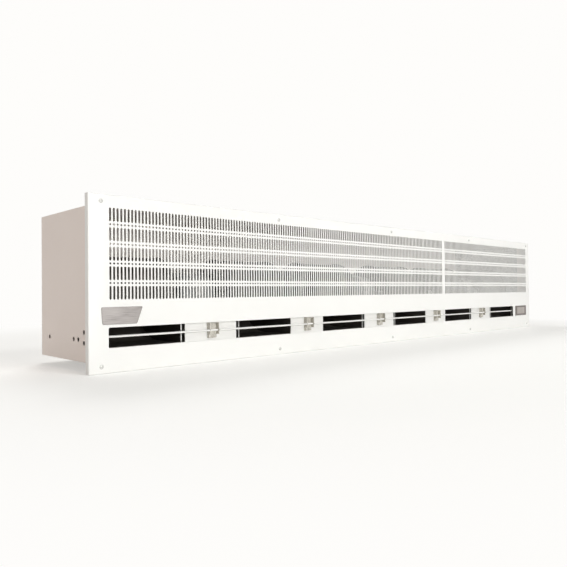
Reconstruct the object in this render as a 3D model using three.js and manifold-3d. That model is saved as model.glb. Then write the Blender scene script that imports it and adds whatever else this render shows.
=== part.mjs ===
// Recessed air curtain, lying as it is shown: the grilled face stands upright and
// looks towards -Y, +X runs to its right and +Z up. Millimetres. The origin is the
// middle of the back panel's outer side.
import * as THREE from 'three';
import { mergeGeometries, mergeVertices } from 'three/addons/utils/BufferGeometryUtils.js';
import Module from 'manifold-3d';

const wasm = await Module();
wasm.setup();

// ---------------------------------------------------------------- driving sizes

// Cabinet and face panel
const faceWidth = 1864;
const faceHeight = 337;
const overallDepth = 272;
const faceOverhang = 17.5;
const faceLipDepth = 13;
const sheet = 1.2;
const seamGap = 0.3;
const foldedFlange = 15;

// Intake grille, punched into the face panel: insets from the face's ends
const slotPitch = 38.2;
const slotWidth = 19.1;
const slotLength = 28;
const slotRowCount = 5;
const slotRowPitch = 36.5;
const topRowHeight = 131;
const grilleLeftInset = 37.5;
const grilleRightInset = 26;
const grilleLandInset = 630.5;
const grilleLandWidth = 22.5;

// Discharge nozzle, the long slot below the grille: insets from the face's ends
const nozzleLeftInset = 39.5;
const nozzleRightInset = 145;
const nozzleMidHeight = -100.7;
const nozzleHeight = 36;
const nozzleCornerRadius = 5;
const nozzleRecess = 17;
const nozzlePlateMargin = 9;

// Fan sets: a motor with a blower on each side
const fanSetCount = 3;
const fanSetPitch = 602.5;
const firstFanSetInset = 249.5;
const blowerOffset = 159;
const outletWidth = 167;
const outletHeight = 44;
const outletSideInset = 9;
const axisDepthBehindFace = 115;

// Blower scroll
const scrollEndRadius = 98;
const scrollStartRadius = 70;
const scrollSteps = 12;
const inletRadius = 50;
const inletSides = 12;

// Blower wheel
const wheelRadius = 63;
const wheelRingWidth = 12;
const wheelRingThickness = 1.5;
const wheelEndClearance = 6;
const wheelDiscThickness = 2;
const bladeCount = 10;
const bladeThickness = 1.2;
const bladeLean = 0.16;
const hubRadius = 13;
const hubLength = 26;

// Motor
const motorRadius = 52;
const motorLength = 104;
const motorCornerCut = 9;
const motorBossRadius = 17;
const motorBossLength = 7;
const motorSides = 12;
const shaftRadius = 6.35;
const shaftClearance = 0.3;
const shaftBeyondHub = 5;

// Motor cradle and strap
const cradleThickness = 2;
const cradleLength = 84;
const cradleBaseDepth = 120;
const cradleTopDepth = 100;
const cradleRise = 20;
const strapWidth = 22;
const strapThickness = 1.6;
const strapEar = 16;

// Air vane and its brackets
const vaneAxisBehindFace = 10;
const vaneNose = 6.5;
const vaneTail = 5.5;
const vaneNoseThickness = 3.6;
const vaneTailThickness = 1.4;
const vaneRodRadius = 2.2;
const vaneEndClearance = 3;
const bracketWidth = 31;
const bracketThickness = 1.5;
const bracketDepth = 11.5;
const bracketHoleClearance = 0.3;
const bracketSideClearance = 1.5;
const bracketFootHeight = 8;
const bracketTopClearance = 1;

// Screws
const faceScrewColumns = 5;
const faceScrewEndInset = 25;
const faceScrewAboveCabinet = 4;
const screwHeadRadius = 4.2;
const screwHeadHeight = 2.4;
const screwShankRadius = 2;
const screwLength = 11;
const screwHoleClearance = 0.4;
const screwSides = 6;
const rodSides = 8;

// Electrical compartment at the right end
const compartmentWidth = 85;
const capacitorRadius = 22;
const capacitorHeight = 78;
const capacitorPitch = 56;
const capacitorSides = 12;
const terminalWidth = 60;
const terminalHeight = 22;
const terminalDepth = 20;
const terminalPoles = 4;
const racewayHeight = 30;
const racewayDepth = 22;
const bushingRadius = 14;
const bushingBoreRadius = 9;
const bushingFlange = 3.5;
const bushingFlangeThickness = 2;

// Left end panel: holes as [depth behind the face, height]
const endHoleRadius = 4.5;
const endHoleSides = 8;
const endHoles = [[106, -108], [84.5, -108], [59, -93], [59, -114], [228, -109]];

// Plates on the face: badge corners as [inset from the left end, height]
const badgeCorners = [[24.5, -44], [110.8, -44], [98.5, -77.2], [27, -77.2]];
const badgeThickness = 1;
const ratingRightInset = 33;
const ratingWidth = 94;
const ratingTop = -82.5;
const ratingBottom = -120.5;
const ratingThickness = 0.8;

// ---------------------------------------------------------------- derived places

const cabinetWidth = faceWidth - 2 * faceOverhang;
const cabinetHeight = faceHeight - 2 * faceOverhang;
const faceRight = faceWidth / 2;
const grilleLeft = -faceRight + grilleLeftInset;
const grilleRight = faceRight - grilleRightInset;
const grilleLandRight = faceRight - grilleLandInset;
const grilleLandLeft = grilleLandRight - grilleLandWidth;
const nozzleLeft = -faceRight + nozzleLeftInset;
const nozzleRight = faceRight - nozzleRightInset;
const firstFanSetX = nozzleLeft + firstFanSetInset;
const faceFront = -overallDepth;
const faceBack = faceFront + sheet;
const cabinetFront = faceBack + seamGap;
const cabinetBack = -sheet - seamGap;
const cabinetRight = cabinetWidth / 2;
const cabinetTop = cabinetHeight / 2;
const innerRight = cabinetRight - sheet - seamGap;
const innerFloor = -cabinetTop + sheet + seamGap;
const nozzlePlateFront = faceFront + nozzleRecess;
const nozzlePlateBack = nozzlePlateFront + sheet;
const outletPlane = nozzlePlateBack + seamGap;
const axisY = faceFront + axisDepthBehindFace;
const axisZ = nozzleMidHeight - outletHeight / 2 + scrollEndRadius;
const housingWidth = outletWidth - outletSideInset;
const housingOffset = blowerOffset + outletSideInset / 2;
const wheelLength = housingWidth - 2 * (sheet + wheelEndClearance);
const wheelRingInnerRadius = wheelRadius - wheelRingWidth;
const shaftHalfLength = housingOffset + hubLength / 2 + shaftBeyondHub;
const compartmentWallX = cabinetRight - compartmentWidth;
const vaneAxisY = faceFront + vaneAxisBehindFace;
const screwHoleRadius = screwShankRadius + screwHoleClearance;
const faceScrewSpan = cabinetRight - (faceScrewEndInset - faceOverhang);
const faceScrewZ = cabinetTop + faceScrewAboveCabinet;

const fanSetXs = Array.from({ length: fanSetCount }, (_, i) => firstFanSetX + i * fanSetPitch);
const sides = [-1, 1];

// ---------------------------------------------------------------- materials

const finish = (color, roughness, metalness) =>
  new THREE.MeshStandardMaterial({ color, roughness, metalness });

const whitePaint = () => finish(0xf8f7f2, 0.5, 0);
const blackEnamel = () => finish(0x26241f, 0.55, 0.2);
const galvanisedSteel = () => finish(0xb9bab8, 0.42, 0.8);
const brightSteel = () => finish(0xc9cacb, 0.3, 0.9);
const motorGrey = () => finish(0x8d8f8e, 0.45, 0.6);
const greyNylon = () => finish(0x3b3c3d, 0.6, 0);
const satinAluminium = () => finish(0xaeaaa7, 0.4, 0.7);

// ---------------------------------------------------------------- shape helpers

const alongX = new THREE.Matrix4().makeBasis(
  new THREE.Vector3(0, 1, 0),
  new THREE.Vector3(0, 0, 1),
  new THREE.Vector3(1, 0, 0),
);
const alongMinusY = new THREE.Matrix4().makeBasis(
  new THREE.Vector3(1, 0, 0),
  new THREE.Vector3(0, 0, 1),
  new THREE.Vector3(0, -1, 0),
);
const latheToX = new THREE.Matrix4().makeBasis(
  new THREE.Vector3(0, 1, 0),
  new THREE.Vector3(1, 0, 0),
  new THREE.Vector3(0, 0, -1),
);

// A geometry with shared corners and no collapsed faces.
function welded(source) {
  const bare = source.clone();
  bare.deleteAttribute('normal');
  bare.deleteAttribute('uv');
  const merged = mergeVertices(bare);
  const index = [];
  for (let i = 0; i < merged.index.count; i += 3) {
    const [a, b, c] = [0, 1, 2].map((k) => merged.index.getX(i + k));
    if (a !== b && b !== c && c !== a) index.push(a, b, c);
  }
  merged.setIndex(index);
  return merged;
}

// The same body for joining and cutting.
function solid(source) {
  const body = welded(source);
  return new wasm.Manifold(new wasm.Mesh({
    numProp: 3,
    vertProperties: new Float32Array(body.attributes.position.array),
    triVerts: new Uint32Array(body.index.array),
  }));
}

function geometryOf(body) {
  const mesh = body.getMesh();
  const geometry = new THREE.BufferGeometry();
  geometry.setAttribute('position', new THREE.BufferAttribute(mesh.vertProperties, 3));
  geometry.setIndex(new THREE.BufferAttribute(mesh.triVerts, 1));
  return geometry;
}

const joined = (parts) => parts.map(solid).reduce((whole, part) => whole.add(part));
const cut = (body, cutters) => cutters.map(solid).reduce((rest, cutter) => rest.subtract(cutter), body);

function block(x0, x1, y0, y1, z0, z1) {
  const box = new THREE.BoxGeometry(x1 - x0, y1 - y0, z1 - z0);
  return box.translate((x0 + x1) / 2, (y0 + y1) / 2, (z0 + z1) / 2);
}

const outline = (points) => new THREE.Shape(points.map(([u, v]) => new THREE.Vector2(u, v)));

// A (y, z) shape pushed from x0 to x1.
function prismX(shape, x0, x1, curveSegments = 4) {
  const settings = { depth: x1 - x0, bevelEnabled: false, curveSegments };
  return new THREE.ExtrudeGeometry(shape, settings).applyMatrix4(alongX).translate(x0, 0, 0);
}

// An (x, z) shape pushed from y1 back to y0.
function prismY(shape, y0, y1, curveSegments = 4) {
  const settings = { depth: y1 - y0, bevelEnabled: false, curveSegments };
  return new THREE.ExtrudeGeometry(shape, settings).applyMatrix4(alongMinusY).translate(0, y1, 0);
}

// A round bar along X.
function rodX(radius, x0, x1, barSides) {
  const bar = new THREE.CylinderGeometry(radius, radius, x1 - x0, barSides);
  return bar.applyMatrix4(latheToX).translate((x0 + x1) / 2, 0, 0);
}

// A round bar along Y.
function rodY(radius, y0, y1, barSides) {
  return new THREE.CylinderGeometry(radius, radius, y1 - y0, barSides).translate(0, (y0 + y1) / 2, 0);
}

function roundedRectangle(x0, x1, z0, z1, radius) {
  const shape = new THREE.Shape();
  shape.moveTo(x0 + radius, z0);
  shape.lineTo(x1 - radius, z0);
  shape.absarc(x1 - radius, z0 + radius, radius, -Math.PI / 2, 0);
  shape.absarc(x1 - radius, z1 - radius, radius, 0, Math.PI / 2);
  shape.absarc(x0 + radius, z1 - radius, radius, Math.PI / 2, Math.PI);
  shape.absarc(x0 + radius, z0 + radius, radius, Math.PI, 1.5 * Math.PI);
  return shape;
}

function roundHole(x, z, radius, holeSides) {
  const corners = Array.from({ length: holeSides }, (_, i) => {
    const angle = (i / holeSides) * 2 * Math.PI;
    return new THREE.Vector2(x + radius * Math.cos(angle), z + radius * Math.sin(angle));
  });
  return new THREE.Path(corners);
}

const curtain = new THREE.Group();

function place(name, geometry, material, position = [0, 0, 0], parent = curtain) {
  const mesh = new THREE.Mesh(geometry, material);
  mesh.name = name;
  mesh.position.set(...position);
  parent.add(mesh);
  return mesh;
}

// ---------------------------------------------------------------- face panel

function faceScrewPlaces() {
  const step = (2 * faceScrewSpan) / (faceScrewColumns - 1);
  const columns = Array.from({ length: faceScrewColumns }, (_, i) => -faceScrewSpan + i * step);
  return sides.flatMap((side) => columns.map((x) => [x, side * faceScrewZ]));
}

// Left edges of the slots that fit into one field, centred in it.
function slotColumns(left, right) {
  const count = Math.floor((right - left - slotWidth) / slotPitch) + 1;
  const used = (count - 1) * slotPitch + slotWidth;
  const start = (left + right - used) / 2;
  return Array.from({ length: count }, (_, i) => start + i * slotPitch);
}

function slotCutters() {
  const columns = [
    ...slotColumns(grilleLeft, grilleLandLeft),
    ...slotColumns(grilleLandRight, grilleRight),
  ];
  const rows = Array.from({ length: slotRowCount }, (_, row) => topRowHeight - row * slotRowPitch);
  return rows.flatMap((mid) => columns.map((x) =>
    block(x, x + slotWidth, faceFront - 1, faceBack + 1, mid - slotLength / 2, mid + slotLength / 2)));
}

// A shallow pan: its front sheet is punched, its rim is folded back all round.
function facePanel() {
  const halfHeight = faceHeight / 2;
  const lipBack = faceFront + faceLipDepth;
  const pan = cut(solid(block(-faceRight, faceRight, faceFront, lipBack, -halfHeight, halfHeight)), [
    block(-faceRight + sheet, faceRight - sheet, faceBack, lipBack + 1, -halfHeight + sheet, halfHeight - sheet),
  ]);
  const nozzle = prismY(
    roundedRectangle(
      nozzleLeft,
      nozzleRight,
      nozzleMidHeight - nozzleHeight / 2,
      nozzleMidHeight + nozzleHeight / 2,
      nozzleCornerRadius,
    ),
    faceFront - 1,
    faceBack + 1,
    3,
  );
  const screwHoles = faceScrewPlaces().map(([x, z]) =>
    rodY(screwHoleRadius, faceFront - 1, faceBack + 1, screwSides).translate(x, 0, z));
  return geometryOf(cut(pan, [nozzle, mergeGeometries(screwHoles), mergeGeometries(slotCutters())]));
}

place('face_panel', facePanel(), whitePaint());

function panHeadScrew() {
  const profile = [
    [0, -screwHeadHeight],
    [screwHeadRadius, -screwHeadHeight],
    [screwHeadRadius, -seamGap],
    [screwShankRadius, -seamGap],
    [screwShankRadius, screwLength],
    [0, screwLength],
  ];
  const points = profile.map(([radius, y]) => new THREE.Vector2(radius, y));
  return welded(new THREE.LatheGeometry(points, screwSides));
}

const faceScrew = panHeadScrew();
faceScrewPlaces().forEach(([x, z], i) => {
  place(`face_screw_${i + 1}`, faceScrew, brightSteel(), [x, faceFront, z]);
});

// ---------------------------------------------------------------- cabinet

// Top and bottom panel: a flange out behind the face, the sheet, a flange in at the back.
function crosswisePanel(side) {
  const outer = side * cabinetTop;
  const inner = side * (cabinetTop - sheet);
  const section = outline([
    [cabinetFront, inner],
    [cabinetBack - sheet, inner],
    [cabinetBack - sheet, outer - side * foldedFlange],
    [cabinetBack, outer - side * foldedFlange],
    [cabinetBack, outer],
    [cabinetFront + sheet, outer],
    [cabinetFront + sheet, outer + side * foldedFlange],
    [cabinetFront, outer + side * foldedFlange],
  ]);
  const panel = solid(prismX(section, -innerRight, innerRight));
  const holes = faceScrewPlaces()
    .filter(([, z]) => z * side > 0)
    .map(([x, z]) => rodY(screwHoleRadius, cabinetFront - 1, cabinetFront + sheet + 1, screwSides).translate(x, 0, z));
  return geometryOf(cut(panel, holes));
}

place('top_panel', crosswisePanel(1), whitePaint());
place('bottom_panel', crosswisePanel(-1), whitePaint());

function endPanel(side, holes) {
  const outer = side * cabinetRight;
  const inner = side * (cabinetRight - sheet);
  const rim = side * (cabinetRight + foldedFlange);
  const wall = block(
    Math.min(outer, inner),
    Math.max(outer, inner),
    cabinetFront,
    cabinetBack,
    -cabinetTop,
    cabinetTop,
  );
  const flange = block(
    Math.min(inner, rim),
    Math.max(inner, rim),
    cabinetFront,
    cabinetFront + sheet,
    -cabinetTop,
    cabinetTop,
  );
  return geometryOf(cut(joined([wall, flange]), holes));
}

const endCutters = endHoles.map(([depth, height]) =>
  rodX(endHoleRadius, -cabinetRight - sheet, -cabinetRight + 2 * sheet, endHoleSides)
    .translate(0, faceFront + depth, height));
place('left_end_panel', endPanel(-1, endCutters), whitePaint());

const supplyY = cabinetBack - racewayDepth - bushingRadius - bushingFlange - foldedFlange;
const supplyZ = cabinetTop - foldedFlange - bushingRadius - bushingFlange;
const supplyHole = rodX(bushingRadius, cabinetRight - 2 * sheet, cabinetRight + sheet, capacitorSides);
place('right_end_panel', endPanel(1, [supplyHole.translate(0, supplyY, supplyZ)]), whitePaint());

place(
  'back_panel',
  block(-cabinetRight, cabinetRight, -sheet, 0, -cabinetTop, cabinetTop),
  whitePaint(),
);

// ---------------------------------------------------------------- nozzle plate

function nozzlePlate() {
  const top = nozzleMidHeight + outletHeight / 2 + nozzlePlateMargin;
  const section = outline([
    [cabinetFront, top],
    [cabinetFront, top - sheet],
    [nozzlePlateFront, top - sheet],
    [nozzlePlateFront, innerFloor],
    [nozzlePlateBack + foldedFlange, innerFloor],
    [nozzlePlateBack + foldedFlange, innerFloor + sheet],
    [nozzlePlateBack, innerFloor + sheet],
    [nozzlePlateBack, top],
  ]);
  const body = solid(prismX(section, -innerRight, compartmentWallX - seamGap));
  const windows = fanSetXs.flatMap((x) => sides.map((side) => block(
    x + side * blowerOffset - outletWidth / 2,
    x + side * blowerOffset + outletWidth / 2,
    nozzlePlateFront - 1,
    nozzlePlateBack + 1,
    nozzleMidHeight - outletHeight / 2,
    nozzleMidHeight + outletHeight / 2,
  )));
  return geometryOf(cut(body, windows));
}

place('nozzle_plate', nozzlePlate(), whitePaint());

// ---------------------------------------------------------------- blower housing

// Scroll seen along the shaft, grown outwards by a wall: its radius shrinks evenly from
// the floor of the outlet, round the back, top and front, to the cut-off above the outlet.
function scrollShape(wall, frontReach) {
  const outletTop = -scrollEndRadius + outletHeight + wall;
  const lastRadius = scrollStartRadius + wall;
  const lastAngle = 2 * Math.PI - Math.acos(-outletTop / lastRadius);
  const front = outletPlane - axisY - frontReach;
  const points = [[front, -scrollEndRadius - wall]];
  for (let step = 0; step <= scrollSteps; step += 1) {
    const share = step / scrollSteps;
    const angle = share * lastAngle;
    const radius = scrollEndRadius + wall - share * (scrollEndRadius - scrollStartRadius);
    points.push([radius * Math.sin(angle), -radius * Math.cos(angle)]);
  }
  points.push([front, outletTop]);
  return outline(points);
}

function blowerHousing() {
  const half = housingWidth / 2;
  const shell = solid(prismX(scrollShape(sheet, 0), -half, half));
  const passage = prismX(scrollShape(0, 1), -half + sheet, half - sheet);
  const inlets = rodX(inletRadius, -half - 1, half + 1, inletSides);
  return geometryOf(cut(shell, [passage, inlets]));
}

// ---------------------------------------------------------------- blower wheel

// One blade as a thin strip that leans forward from the ring's inner edge to a corner
// of its outer edge.
function blade(angle, halfLength) {
  const inner = wheelRingInnerRadius + bladeThickness;
  const outer = wheelRadius - bladeThickness;
  const corner = (radius, turn, shift) => {
    const direction = angle + turn + shift / radius;
    return [radius * Math.cos(direction), radius * Math.sin(direction)];
  };
  const shape = outline([
    corner(inner, -bladeLean, -bladeThickness / 2),
    corner(outer, 0, -bladeThickness / 2),
    corner(outer, 0, bladeThickness / 2),
    corner(inner, -bladeLean, bladeThickness / 2),
  ]);
  return prismX(shape, -halfLength, halfLength);
}

const wheelOutline = () => new THREE.Shape(roundHole(0, 0, wheelRadius, bladeCount).getPoints());

function wheelRing(x0, x1) {
  const shape = wheelOutline();
  shape.holes.push(roundHole(0, 0, wheelRingInnerRadius, bladeCount));
  return prismX(shape, x0, x1);
}

// Two end rings and a middle disc with its hub, tied by the blades.
function blowerWheel() {
  const half = wheelLength / 2;
  const blades = Array.from({ length: bladeCount }, (_, i) =>
    blade((i / bladeCount) * 2 * Math.PI, half - wheelRingThickness / 2));
  const body = joined([
    prismX(wheelOutline(), -wheelDiscThickness / 2, wheelDiscThickness / 2),
    wheelRing(-half, -half + wheelRingThickness),
    wheelRing(half - wheelRingThickness, half),
    rodX(hubRadius, -hubLength / 2, hubLength / 2, rodSides),
    ...blades,
  ]);
  return geometryOf(cut(body, [rodX(shaftRadius + shaftClearance, -hubLength, hubLength, rodSides)]));
}

// ---------------------------------------------------------------- motor, shaft, cradle

function motorBody() {
  const half = motorLength / 2;
  const bore = shaftRadius + shaftClearance;
  const end = half + motorBossLength;
  const profile = [
    [bore, -end],
    [motorBossRadius, -end],
    [motorBossRadius, -half],
    [motorRadius - motorCornerCut, -half],
    [motorRadius, -half + motorCornerCut],
    [motorRadius, half - motorCornerCut],
    [motorRadius - motorCornerCut, half],
    [motorBossRadius, half],
    [motorBossRadius, end],
    [bore, end],
    [bore, -end],
  ];
  const points = profile.map(([radius, x]) => new THREE.Vector2(radius, x));
  return welded(new THREE.LatheGeometry(points, motorSides)).applyMatrix4(latheToX);
}

// A folded seat on the cabinet floor whose two uprights carry the motor.
function motorCradle() {
  const half = cradleLength / 2;
  const floor = innerFloor - axisZ;
  const baseTop = floor + cradleThickness;
  const bed = -motorRadius + cradleRise;
  const upright = outline([
    [-cradleBaseDepth / 2, floor],
    [cradleBaseDepth / 2, floor],
    [cradleTopDepth / 2, bed],
    [-cradleTopDepth / 2, bed],
  ]);
  const body = joined([
    block(-half, half, -cradleBaseDepth / 2, cradleBaseDepth / 2, floor, baseTop),
    prismX(upright, -half, -half + cradleThickness),
    prismX(upright, half - cradleThickness, half),
  ]);
  return geometryOf(cut(body, [rodX(motorRadius + seamGap, -half - 1, half + 1, motorSides)]));
}

// How far the side of a round bar's facets lies from its axis in one direction.
function facetRadius(radius, angle, facets) {
  const facet = (2 * Math.PI) / facets;
  const fromMiddle = angle - (Math.floor(angle / facet) + 0.5) * facet;
  return (radius * Math.cos(facet / 2)) / Math.cos(fromMiddle);
}

// A band over the motor whose two ears come down onto the cradle's uprights.
function motorStrap() {
  const bed = -motorRadius + cradleRise + seamGap;
  const facet = (2 * Math.PI) / motorSides;
  const band = (radius, height) => {
    const start = Math.asin(height / radius);
    const corners = [start];
    for (let angle = Math.ceil(start / facet) * facet; angle < Math.PI - start; angle += facet) {
      corners.push(angle);
    }
    return [...corners, Math.PI - start].map((angle) => {
      const reach = facetRadius(radius, angle, motorSides);
      return [reach * Math.cos(angle), reach * Math.sin(angle)];
    });
  };
  const inner = band(motorRadius + seamGap, bed);
  const outer = band(motorRadius + seamGap + strapThickness, bed + strapThickness);
  const end = inner[0][0] + strapEar;
  const section = outline([
    [end, bed],
    [end, bed + strapThickness],
    ...outer,
    [-end, bed + strapThickness],
    [-end, bed],
    ...inner.reverse(),
  ]);
  return welded(prismX(section, -strapWidth / 2, strapWidth / 2));
}

const housingGeometry = blowerHousing();
const wheelGeometry = blowerWheel();
const motorGeometry = motorBody();
const cradleGeometry = motorCradle();
const strapGeometry = motorStrap();

fanSetXs.forEach((x, set) => {
  const fanSet = new THREE.Group();
  fanSet.position.set(x, axisY, axisZ);
  curtain.add(fanSet);
  const number = set + 1;
  place(`motor_${number}`, motorGeometry, motorGrey(), [0, 0, 0], fanSet);
  place(
    `motor_shaft_${number}`,
    welded(rodX(shaftRadius, -shaftHalfLength, shaftHalfLength, rodSides)),
    brightSteel(),
    [0, 0, 0],
    fanSet,
  );
  place(`motor_cradle_${number}`, cradleGeometry, galvanisedSteel(), [0, 0, 0], fanSet);
  place(`motor_strap_${number}`, strapGeometry, galvanisedSteel(), [0, 0, 0], fanSet);
  sides.forEach((side, k) => {
    const blower = 2 * set + k + 1;
    const offset = [side * housingOffset, 0, 0];
    place(`blower_housing_${blower}`, housingGeometry, blackEnamel(), offset, fanSet);
    place(`blower_wheel_${blower}`, wheelGeometry, galvanisedSteel(), offset, fanSet);
  });
});

// ---------------------------------------------------------------- air vane

const bracketXs = fanSetXs.flatMap((x, i) => (i === 0 ? [x] : [x - fanSetPitch / 2, x]));

function airVane() {
  const nose = vaneNoseThickness / 2;
  const tail = vaneTailThickness / 2;
  const section = outline([
    [-vaneNose, -nose / 2],
    [-vaneNose + nose, -nose],
    [nose, -nose],
    [vaneTail, -tail],
    [vaneTail, tail],
    [nose, nose],
    [-vaneNose + nose, nose],
    [-vaneNose, nose / 2],
  ]);
  const left = nozzleLeft + vaneEndClearance;
  const right = nozzleRight - vaneEndClearance;
  const stop = bracketWidth / 2 + bracketSideClearance;
  const starts = [left, ...bracketXs.map((x) => x + stop)];
  const ends = [...bracketXs.map((x) => x - stop), right];
  const blades = starts.map((start, i) => prismX(section, start, ends[i]));
  return geometryOf(joined([rodX(vaneRodRadius, left + 1, right - 1, screwSides), ...blades]));
}

place('air_vane', airVane(), whitePaint(), [0, vaneAxisY, nozzleMidHeight]);

// A zinc clip on the blank plate between two outlets: two ears carry the vane's rod, a
// bridge ties them above it, and a screw head sits on the foot below.
function vaneBracket() {
  const half = bracketWidth / 2;
  const back = nozzlePlateFront - vaneAxisY - seamGap;
  const seat = back - bracketThickness;
  const front = back - bracketDepth;
  const top = nozzleHeight / 2 - bracketTopClearance;
  const footTop = -top + bracketFootHeight;
  const screwHead = rodY(screwHeadRadius, seat - screwHeadHeight, seat + bracketThickness / 2, screwSides);
  const body = joined([
    block(-half, half, seat, back, -top, top),
    block(-half, -half + bracketThickness, front, back, footTop, top),
    block(half - bracketThickness, half, front, back, footTop, top),
    block(-half, half, front, back, top - bracketThickness, top),
    screwHead.translate(0, 0, -top + screwHeadRadius),
  ]);
  const pivots = rodX(vaneRodRadius + bracketHoleClearance, -bracketWidth, bracketWidth, screwSides);
  return geometryOf(cut(body, [pivots]));
}

const bracketGeometry = vaneBracket();
bracketXs.forEach((x, i) => {
  place(`vane_bracket_${i + 1}`, bracketGeometry, galvanisedSteel(), [x, vaneAxisY, nozzleMidHeight]);
});

// ---------------------------------------------------------------- electrical compartment

function compartmentWall() {
  const back = cabinetBack - sheet - seamGap;
  const wall = block(
    compartmentWallX,
    compartmentWallX + sheet,
    cabinetFront,
    back,
    innerFloor,
    -innerFloor,
  );
  const foot = block(
    compartmentWallX,
    compartmentWallX + foldedFlange,
    cabinetFront + foldedFlange,
    back,
    innerFloor,
    innerFloor + sheet,
  );
  return geometryOf(joined([wall, foot]));
}

place('compartment_wall', compartmentWall(), galvanisedSteel());

const racewayBack = cabinetBack - sheet - seamGap;
const racewayFloor = innerFloor + foldedFlange + seamGap;

function wireRaceway() {
  const section = outline([
    [racewayBack, racewayFloor],
    [racewayBack, racewayFloor + racewayHeight],
    [racewayBack - racewayDepth, racewayFloor + racewayHeight],
    [racewayBack - racewayDepth, racewayFloor],
    [racewayBack - racewayDepth + sheet, racewayFloor],
    [racewayBack - racewayDepth + sheet, racewayFloor + racewayHeight - sheet],
    [racewayBack - sheet, racewayFloor + racewayHeight - sheet],
    [racewayBack - sheet, racewayFloor],
  ]);
  return prismX(section, firstFanSetX, compartmentWallX - seamGap);
}

place('wire_raceway', welded(wireRaceway()), galvanisedSteel());

const compartmentMidX = (compartmentWallX + innerRight) / 2;
for (let i = 0; i < fanSetCount; i += 1) {
  const can = new THREE.CylinderGeometry(capacitorRadius, capacitorRadius, capacitorHeight, capacitorSides);
  const body = welded(can.rotateX(Math.PI / 2));
  const y = axisY - capacitorPitch / 2 + i * capacitorPitch;
  const position = [compartmentMidX, y, innerFloor + capacitorHeight / 2];
  place(`run_capacitor_${i + 1}`, body, satinAluminium(), position);
}

function terminalBlock() {
  const half = terminalWidth / 2;
  const pitch = terminalWidth / terminalPoles;
  const pockets = Array.from({ length: terminalPoles }, (_, i) => {
    const mid = -half + (i + 0.5) * pitch;
    return block(
      mid - pitch / 2 + sheet,
      mid + pitch / 2 - sheet,
      -terminalDepth - 1,
      -terminalDepth / 2,
      sheet,
      terminalHeight - sheet,
    );
  });
  return geometryOf(cut(solid(block(-half, half, -terminalDepth, 0, 0, terminalHeight)), pockets));
}

place('terminal_block', terminalBlock(), greyNylon(), [compartmentMidX, -sheet - seamGap, 0]);

function supplyBushing() {
  const bodyRadius = bushingRadius - seamGap;
  const outer = cabinetRight + seamGap;
  const profile = [
    [bushingBoreRadius, cabinetRight - sheet - 3 * bushingFlangeThickness],
    [bodyRadius, cabinetRight - sheet - 3 * bushingFlangeThickness],
    [bodyRadius, outer],
    [bushingRadius + bushingFlange, outer],
    [bushingRadius + bushingFlange, outer + bushingFlangeThickness],
    [bushingBoreRadius, outer + bushingFlangeThickness],
    [bushingBoreRadius, cabinetRight - sheet - 3 * bushingFlangeThickness],
  ];
  const points = profile.map(([radius, x]) => new THREE.Vector2(radius, x));
  return welded(new THREE.LatheGeometry(points, capacitorSides)).applyMatrix4(latheToX);
}

place('supply_bushing', supplyBushing(), greyNylon(), [0, supplyY, supplyZ]);

// ---------------------------------------------------------------- plates on the face

const onFace = faceFront - seamGap;
const badgeShape = outline(badgeCorners.map(([inset, height]) => [inset - faceRight, height]));
const ratingRight = faceRight - ratingRightInset;
place(
  'badge_plate',
  welded(prismY(badgeShape, onFace - badgeThickness, onFace)),
  satinAluminium(),
);
place(
  'rating_plate',
  block(ratingRight - ratingWidth, ratingRight, onFace - ratingThickness, onFace, ratingBottom, ratingTop),
  greyNylon(),
);

export default curtain;
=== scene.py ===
"""Recessed air curtain with its grilled face upright, seen from its left end.

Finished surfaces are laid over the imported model. Each is an array of points computed in
millimetres from the sizes below, welded and turned into a mesh in metres. Most sizes are
the solids' own, and a few that follow the photograph differ from them by some millimetres.
"""

import bpy
import numpy as np
from mathutils import Matrix, Vector


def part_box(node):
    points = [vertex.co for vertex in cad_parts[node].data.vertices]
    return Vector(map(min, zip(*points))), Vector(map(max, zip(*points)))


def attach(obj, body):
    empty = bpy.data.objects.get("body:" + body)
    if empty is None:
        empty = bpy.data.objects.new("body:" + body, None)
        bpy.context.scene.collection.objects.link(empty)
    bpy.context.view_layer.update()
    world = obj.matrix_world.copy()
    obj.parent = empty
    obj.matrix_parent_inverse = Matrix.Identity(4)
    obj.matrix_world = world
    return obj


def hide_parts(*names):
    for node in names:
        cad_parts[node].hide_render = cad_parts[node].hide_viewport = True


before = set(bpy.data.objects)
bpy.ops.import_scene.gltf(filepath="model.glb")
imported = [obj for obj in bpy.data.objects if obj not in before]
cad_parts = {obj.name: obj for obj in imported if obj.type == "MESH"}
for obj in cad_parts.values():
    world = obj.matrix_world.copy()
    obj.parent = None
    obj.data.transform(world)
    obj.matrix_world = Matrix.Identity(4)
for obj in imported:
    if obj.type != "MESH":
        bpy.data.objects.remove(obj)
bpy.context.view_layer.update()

# ---------------------------------------------------------------- sizes, millimetres
# X runs to the right, Y from the face to the back panel, Z up.

MILLIMETRE = 0.001
# Half size of a hole's core that is a mere point, and a radius that stands for the axis.
POINT, ON_AXIS = 1e-6, 0.01

FACE_RIGHT = 932.0
FACE_TOP = 168.5
FRONT = -272.0
SHEET = 1.2
FACE_SHEET = 1.05
SEAM_GAP = 0.3
# Screw heads stand this far off the face, and rivet heads sink this far into the back.
HEAD_SHIFT = 0.05
LIP_DEPTH = 13.0
RIM_BEND = 2.2

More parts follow.
